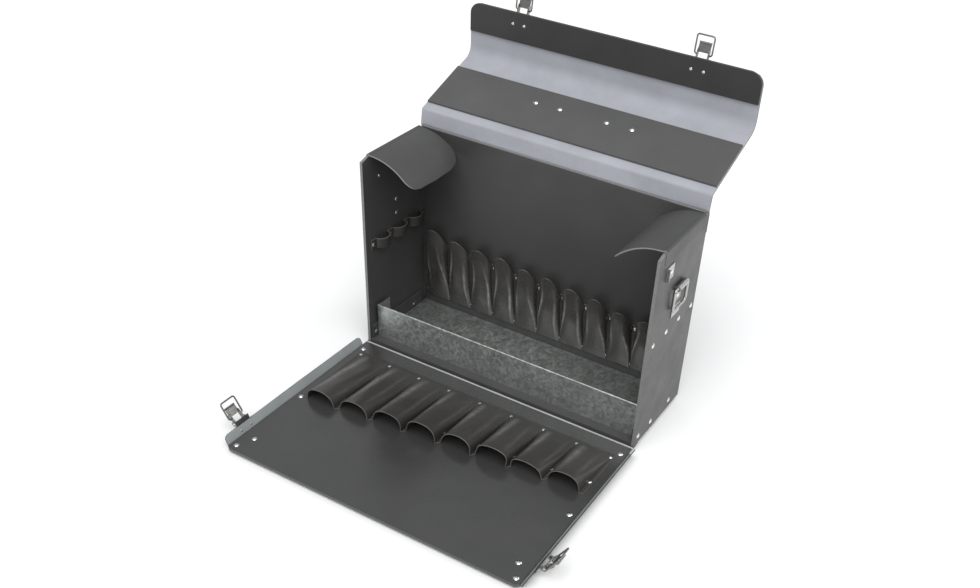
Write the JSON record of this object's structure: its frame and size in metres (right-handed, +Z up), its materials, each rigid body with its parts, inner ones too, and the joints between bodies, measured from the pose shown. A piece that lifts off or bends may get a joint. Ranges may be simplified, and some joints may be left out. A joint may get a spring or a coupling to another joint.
{
  "type": "tool case",
  "caption": "Open leatherboard tool case with a drop front, a fold-back lid with flap, leather tool pockets and loops, a metal tray and draw latches.",
  "frame": {"origin": "centre of the underside of the base sole, on the floor, at the middle of the case's width and depth", "axes": "+X to the right seen from the open front, +Y from the front to the back, +Z up"},
  "size_m": [0.498, 0.5673, 0.4512],
  "materials": {
    "case_board": "fine grained black leatherboard",
    "pocket_leather": "smooth black leather with a slight shine",
    "edge_fabric": "black coated outside, light grey woven backing inside",
    "zinc_sheet": "galvanised sheet with spangle",
    "bright_metal": "bright nickel plate",
    "rivet_metal": "bright nickel plate",
    "grip_leather": "smooth black leather",
    "sole_board": "coarse black wear board"
  },
  "bodies": {
    "case_body": {"base_panel": "case_board", "base_sole": "sole_board", "back_panel": "case_board", "left_side_panel": "case_board", "right_side_panel": "case_board", "base_rivets": "rivet_metal", "base_tray": "zinc_sheet", "back_pocket_strip": "pocket_leather", "back_pocket_rivets": "rivet_metal", "left_loop_strip": "pocket_leather", "right_loop_strip": "pocket_leather", "loop_rivets": "rivet_metal", "left_strap_bracket": "bright_metal", "right_strap_bracket": "bright_metal", "left_keeper": "bright_metal", "right_keeper": "bright_metal", "side_fitting_rivets": "rivet_metal", "front_hinge_strip": "edge_fabric"},
    "left_ear": {"left_ear": "case_board"},
    "right_ear": {"right_ear": "case_board"},
    "left_strap_ring": {"left_strap_ring": "bright_metal"},
    "right_strap_ring": {"right_strap_ring": "bright_metal"},
    "front": {"front_panel": "case_board", "front_pocket_strip": "pocket_leather", "front_pocket_rivets": "rivet_metal", "left_flange_leg": "edge_fabric", "right_flange_leg": "edge_fabric", "flange_rivets": "rivet_metal", "front_keepers": "bright_metal"},
    "left_flange": {"left_flange": "edge_fabric", "left_side_latch_plate": "bright_metal", "left_side_latch_pin": "rivet_metal", "left_side_latch_rivets": "rivet_metal"},
    "left_side_lever": {"left_side_latch_lever": "bright_metal"},
    "left_side_bail": {"left_side_latch_bail": "bright_metal"},
    "right_flange": {"right_flange": "edge_fabric", "right_side_latch_plate": "bright_metal", "right_side_latch_pin": "rivet_metal", "right_side_latch_rivets": "rivet_metal"},
    "right_side_lever": {"right_side_latch_lever": "bright_metal"},
    "right_side_bail": {"right_side_latch_bail": "bright_metal"},
    "lid_rear": {"lid_rear_band": "edge_fabric"},
    "lid_top": {"lid_skin": "edge_fabric", "lid_top_board": "case_board", "handle_brackets": "bright_metal", "handle_pins": "rivet_metal", "handle_rivets": "rivet_metal"},
    "handle": {"handle_bow": "bright_metal", "handle_grip": "grip_leather"},
    "flap": {"flap_skin": "edge_fabric", "flap_board": "case_board", "left_lid_latch_plate": "bright_metal", "left_lid_latch_pin": "rivet_metal", "right_lid_latch_plate": "bright_metal", "right_lid_latch_pin": "rivet_metal", "lid_latch_rivets": "rivet_metal"},
    "left_lid_lever": {"left_lid_latch_lever": "bright_metal"},
    "left_lid_bail": {"left_lid_latch_bail": "bright_metal"},
    "right_lid_lever": {"right_lid_latch_lever": "bright_metal"},
    "right_lid_bail": {"right_lid_latch_bail": "bright_metal"}
  },
  "joints": [
    {"name": "front_swing", "type": "hinge", "parent": "case_body", "child": "front", "pos_m": [0, -0.072, 0.006], "axis": [-1, 0, 0], "range_deg": [0, 90]},
    {"name": "left_ear_fold", "type": "hinge", "parent": "case_body", "child": "left_ear", "pos_m": [-0.213, 0.003, 0.287], "axis": [0, -1, 0], "range_deg": [0, 11]},
    {"name": "right_ear_fold", "type": "hinge", "parent": "case_body", "child": "right_ear", "pos_m": [0.213, 0.003, 0.287], "axis": [0, 1, 0], "range_deg": [0, 11]},
    {"name": "left_ring_swing", "type": "hinge", "parent": "case_body", "child": "left_strap_ring", "pos_m": [-0.2192, 0.0015, 0.22], "axis": [0, 1, 0], "range_deg": [0, 165]},
    {"name": "right_ring_swing", "type": "hinge", "parent": "case_body", "child": "right_strap_ring", "pos_m": [0.2192, 0.0015, 0.22], "axis": [0, -1, 0], "range_deg": [0, 165]},
    {"name": "left_flange_fold", "type": "hinge", "parent": "front", "child": "left_flange", "pos_m": [-0.2172, -0.218, 0.0034], "axis": [0, 1, 0], "range_deg": [0, 24]},
    {"name": "left_side_lever_turn", "type": "hinge", "parent": "left_flange", "child": "left_side_lever", "pos_m": [-0.22994, -0.32, 0.01579], "axis": [0, -1, 0], "range_deg": [0, 150]},
    {"name": "left_side_bail_turn", "type": "hinge", "parent": "left_side_lever", "child": "left_side_bail", "pos_m": [-0.23515, -0.32, 0.02118], "axis": [0, -1, 0], "range_deg": [-175.6, 0]},
    {"name": "right_flange_fold", "type": "hinge", "parent": "front", "child": "right_flange", "pos_m": [0.2172, -0.218, 0.0034], "axis": [0, -1, 0], "range_deg": [0, 24]},
    {"name": "right_side_lever_turn", "type": "hinge", "parent": "right_flange", "child": "right_side_lever", "pos_m": [0.22994, -0.32, 0.01579], "axis": [0, 1, 0], "range_deg": [0, 150]},
    {"name": "right_side_bail_turn", "type": "hinge", "parent": "right_side_lever", "child": "right_side_bail", "pos_m": [0.23515, -0.32, 0.02118], "axis": [0, 1, 0], "range_deg": [-175.6, 0]},
    {"name": "lid_swing", "type": "hinge", "parent": "case_body", "child": "lid_rear", "pos_m": [0, 0.0675, 0.287], "axis": [1, 0, 0], "range_deg": [0, 68]},
    {"name": "lid_fold", "type": "hinge", "parent": "lid_rear", "child": "lid_top", "pos_m": [0, 0.07084, 0.31077], "axis": [1, 0, 0], "range_deg": [0, 92.6]},
    {"name": "flap_fold", "type": "hinge", "parent": "lid_top", "child": "flap", "pos_m": [0, 0.19056, 0.35316], "axis": [1, 0, 0], "range_deg": [0, 18.3]},
    {"name": "handle_swing", "type": "hinge", "parent": "lid_top", "child": "handle", "pos_m": [0, 0.13465, 0.3253], "axis": [1, 0, 0], "range_deg": [-64, 103]},
    {"name": "left_lid_lever_turn", "type": "hinge", "parent": "flap", "child": "left_lid_lever", "pos_m": [-0.137, 0.19658, 0.41922], "axis": [-1, 0, 0], "range_deg": [0, 150]},
    {"name": "left_lid_bail_turn", "type": "hinge", "parent": "left_lid_lever", "child": "left_lid_bail", "pos_m": [-0.137, 0.19908, 0.42629], "axis": [-1, 0, 0], "range_deg": [-179.1, 0]},
    {"name": "right_lid_lever_turn", "type": "hinge", "parent": "flap", "child": "right_lid_lever", "pos_m": [0.127, 0.19658, 0.41922], "axis": [-1, 0, 0], "range_deg": [0, 150]},
    {"name": "right_lid_bail_turn", "type": "hinge", "parent": "right_lid_lever", "child": "right_lid_bail", "pos_m": [0.127, 0.19908, 0.42629], "axis": [-1, 0, 0], "range_deg": [-179.1, 0]}
  ],
  "couplings": [
    {"joint": "left_side_bail_turn", "follows": "left_side_lever_turn", "ratio": -1.1707},
    {"joint": "right_side_bail_turn", "follows": "right_side_lever_turn", "ratio": -1.1707},
    {"joint": "lid_fold", "follows": "lid_swing", "ratio": 1.3603},
    {"joint": "flap_fold", "follows": "lid_swing", "ratio": 0.26765},
    {"joint": "left_lid_bail_turn", "follows": "left_lid_lever_turn", "ratio": -1.194},
    {"joint": "right_lid_bail_turn", "follows": "right_lid_lever_turn", "ratio": -1.194}
  ]
}
